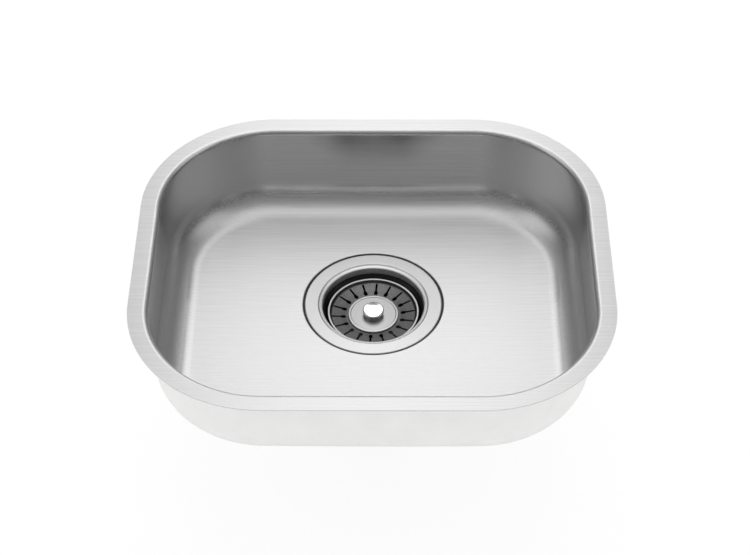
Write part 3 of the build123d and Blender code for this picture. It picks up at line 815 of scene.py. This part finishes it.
pad_rubber = moulded("pad_rubber", (0.035, 0.036, 0.04), (0.05, 0.051, 0.055), 0.85, 1800, 0.00008)
seal_rubber = moulded(
    "seal_rubber", (0.015, 0.015, 0.016), (0.025, 0.025, 0.026), 0.6, 3000, 0.00001
)
nut_plastic = moulded(
    "nut_plastic", (0.5, 0.5, 0.49), (0.56, 0.56, 0.55), 0.42, 2600, 0.00001,
    Subsurface_Weight=0.05,
)
nylon = moulded(
    "nylon", (0.8, 0.78, 0.72), (0.87, 0.85, 0.8), 0.35, 2000, 0.000005, Subsurface_Weight=0.1
)
outer_coat = moulded(
    "outer_coat", (0.76, 0.76, 0.755), (0.79, 0.79, 0.785), 0.75, 900, 0.00004,
    Specular_IOR_Level=0.3,
)
fibre = moulded("fibre", (0.3, 0.19, 0.1), (0.42, 0.29, 0.17), 0.8, 1500, 0.00003)
print("materials:", len(bpy.data.materials))

# %% [markdown]
# ## Dressing the pieces
#
# Every new piece takes its material and the body it moves with, and the CAD node it stands for is
# hidden. The table also lists a finish slot for each piece, which the loop does not use. CAD nodes
# that keep their shape only get their material.

# %% Bodies, nodes and slots
# The strainer's three tones: its steel, then two of painted shade.
strainer_tones_and_painted_shade = (strainer_steel, throat_painted_shade, cup_painted_shade)
pieces = [
    (bowl, (bowl_steel, outer_coat), "sink", "sink_bowl", "bowl_steel"),
    (strainer_body, strainer_tones_and_painted_shade, "sink", "strainer_body", "strainer_steel"),
    (basket, (strainer_steel, basket_steel), "basket", "strainer_basket", "basket_steel"),
    (basket_cap, (strainer_steel, disc_steel), "basket", "centre_disc", "disc_steel"),
    (knob, (knob_steel,), "plug", "lift_knob", "knob_steel"),
    (stem, (tube_chrome,), "plug", "lift_stem", "cup_steel"),
    (sleeve, (cup_steel,), "basket", "hub_sleeve", "cup_steel"),
    (stopper, (seal_rubber,), "plug", "stopper_disc", "seal_rubber"),
    # The stopper plate takes the basket's dark grey: painted shade, so the cup under the slots
    # stays dark.
    (stopper_plate, (basket_steel,), "plug", "stopper_plate", "cup_steel"),
    (stopper_washer, (cup_steel,), "plug", "stopper_washer", "cup_steel"),
    (clamp_cup, (cup_steel,), "sink", "clamp_cup", "cup_steel"),
    (spud, (cup_steel,), "sink", "outlet_spud", "cup_steel"),
    (tailpiece, (tube_chrome,), "sink", "tailpiece", "tube_chrome"),
]
for piece, materials, body, stands_for, slot in pieces:
    for index, material in enumerate(materials):
        if index == len(piece.material_slots):
            piece.data.materials.append(None)
        piece.material_slots[index].material = material
    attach(piece, body)
    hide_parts(stands_for)

kept = {
    "floor_sound_pad": pad_rubber,
    "wall_sound_pads": pad_rubber,
    "flange_seal": seal_rubber,
    "clamp_gasket": seal_rubber,
    "friction_washer": fibre,
    "lock_nut": nut_plastic,
    "tailpiece_washer": nylon,
    "coupling_nut": nut_plastic,
    "outlet_crossbar": cup_steel,
    "post_guide": nylon,
    "detent_ring": spring_steel,
    "stem_nut": cup_steel,
}
for name, material in kept.items():
    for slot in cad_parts[name].material_slots:
        slot.material = material
print("new pieces:", len(pieces), "kept nodes:", len(kept))

# %% [markdown]
# ## Floor and light
#
# The photograph has a white ground and the even light of a studio. A soft box behind and above
# the sink is what the floor of the bowl mirrors. A wide sky would do the same for every surface,
# but then the walls would be as pale as the floor. The back wall and the floor together send a
# ray back to where it came from, so the back wall shows the front of the room. A dark card there
# makes it grey. The floor glows a little for the camera, so it is white but keeps a shadow.

# %% Floor, world, soft boxes and card
bpy.ops.object.select_all(action="DESELECT")
bpy.ops.mesh.primitive_plane_add(size=8, location=(0, 0, cad_box[0][2] - 0.5 * mm))
ground = bpy.context.object
ground.name = "floor"
bpy.ops.object.transform_apply(location=True)
white, shader = new_material("floor_white", (0.9, 0.9, 0.9), 0.0, 0.9)
rays = node(white, "ShaderNodeLightPath")
either = node(white, "ShaderNodeMath", operation="ADD", use_clamp=True)
link(white, rays.outputs["Is Camera Ray"], either.inputs[0])
link(white, rays.outputs["Is Glossy Ray"], either.inputs[1])
share = node(white, "ShaderNodeMath", operation="MULTIPLY")
link(white, either.outputs["Value"], share.inputs[0])
share.inputs[1].default_value = 0.9
glow = node(white, "ShaderNodeEmission", Strength=1.0)
blend = node(white, "ShaderNodeMixShader")
link(white, share.outputs["Value"], blend.inputs["Fac"])
link(white, shader.outputs["BSDF"], blend.inputs[1])
link(white, glow.outputs["Emission"], blend.inputs[2])
link(white, blend.outputs["Shader"], white.node_tree.nodes["Material Output"].inputs["Surface"])
ground.data.materials.append(white)

world = bpy.data.worlds.new("studio")
bpy.context.scene.world = world
world.use_nodes = True
sky = world.node_tree.nodes["Background"]
sky.inputs["Color"].default_value = (1, 1, 1, 1)
sky.inputs["Strength"].default_value = 1.0
mirrored = node(world, "ShaderNodeBackground", Strength=0.22)
rays = node(world, "ShaderNodeLightPath")
blend = node(world, "ShaderNodeMixShader")
link(world, rays.outputs["Is Glossy Ray"], blend.inputs["Fac"])
link(world, sky.outputs["Background"], blend.inputs[1])
link(world, mirrored.outputs["Background"], blend.inputs[2])
link(world, blend.outputs["Shader"], world.node_tree.nodes["World Output"].inputs["Surface"])


def facing(azimuth, elevation, distance):
    """A place on the sky, turned so that its -Z side looks at the sink."""
    aimed = Euler((radians(elevation - 90), 0, radians(-azimuth))).to_matrix().to_4x4()
    return aimed @ Matrix.Translation((0, 0, distance))


def soft_box(name, azimuth, elevation, distance, width, height, power):
    """A rectangular lamp that faces the sink, placed by the direction it is seen in."""
    lamp = bpy.data.lights.new(name, "AREA")
    lamp.shape = "RECTANGLE"
    lamp.size = width
    lamp.size_y = height
    lamp.energy = power
    box = bpy.data.objects.new(name, lamp)
    bpy.context.scene.collection.objects.link(box)
    box.matrix_world = facing(azimuth, elevation, distance)


soft_box("back_box", 0, 45, 1.8, 0.8, 1.6, 6.2)
soft_box("top_box", 0, 82, 1.8, 1.2, 1.2, 6.8)
soft_box("left_box", 270, 45, 1.8, 1.2, 1.2, 3.5)
soft_box("right_box", 90, 45, 1.8, 1.2, 1.2, 2.5)


def dark_card(name, azimuth, elevation, distance, width, height, tone):
    """A grey card that only reflections can see."""
    bpy.ops.mesh.primitive_plane_add(size=1)
    card = bpy.context.object
    card.name = name
    size = Matrix.Diagonal((width, height, 1, 1))
    card.data.transform(facing(azimuth, elevation, distance) @ size)
    material, shader = new_material(name, (tone, tone, tone), 0.0, 1.0)
    card.data.materials.append(material)
    card.visible_camera = False
    card.visible_diffuse = False
    card.visible_shadow = False


dark_card("front_card", 180, 45, 1.6, 2.6, 1.3, 0.22)
print("floor, world, four soft boxes and one card")

# %% [markdown]
# ## Measure and finish
#
# The CAD model's box is printed. The visual model has to stay inside the CAD model's box.

# %% Finish
print("cad box:", cad_box)
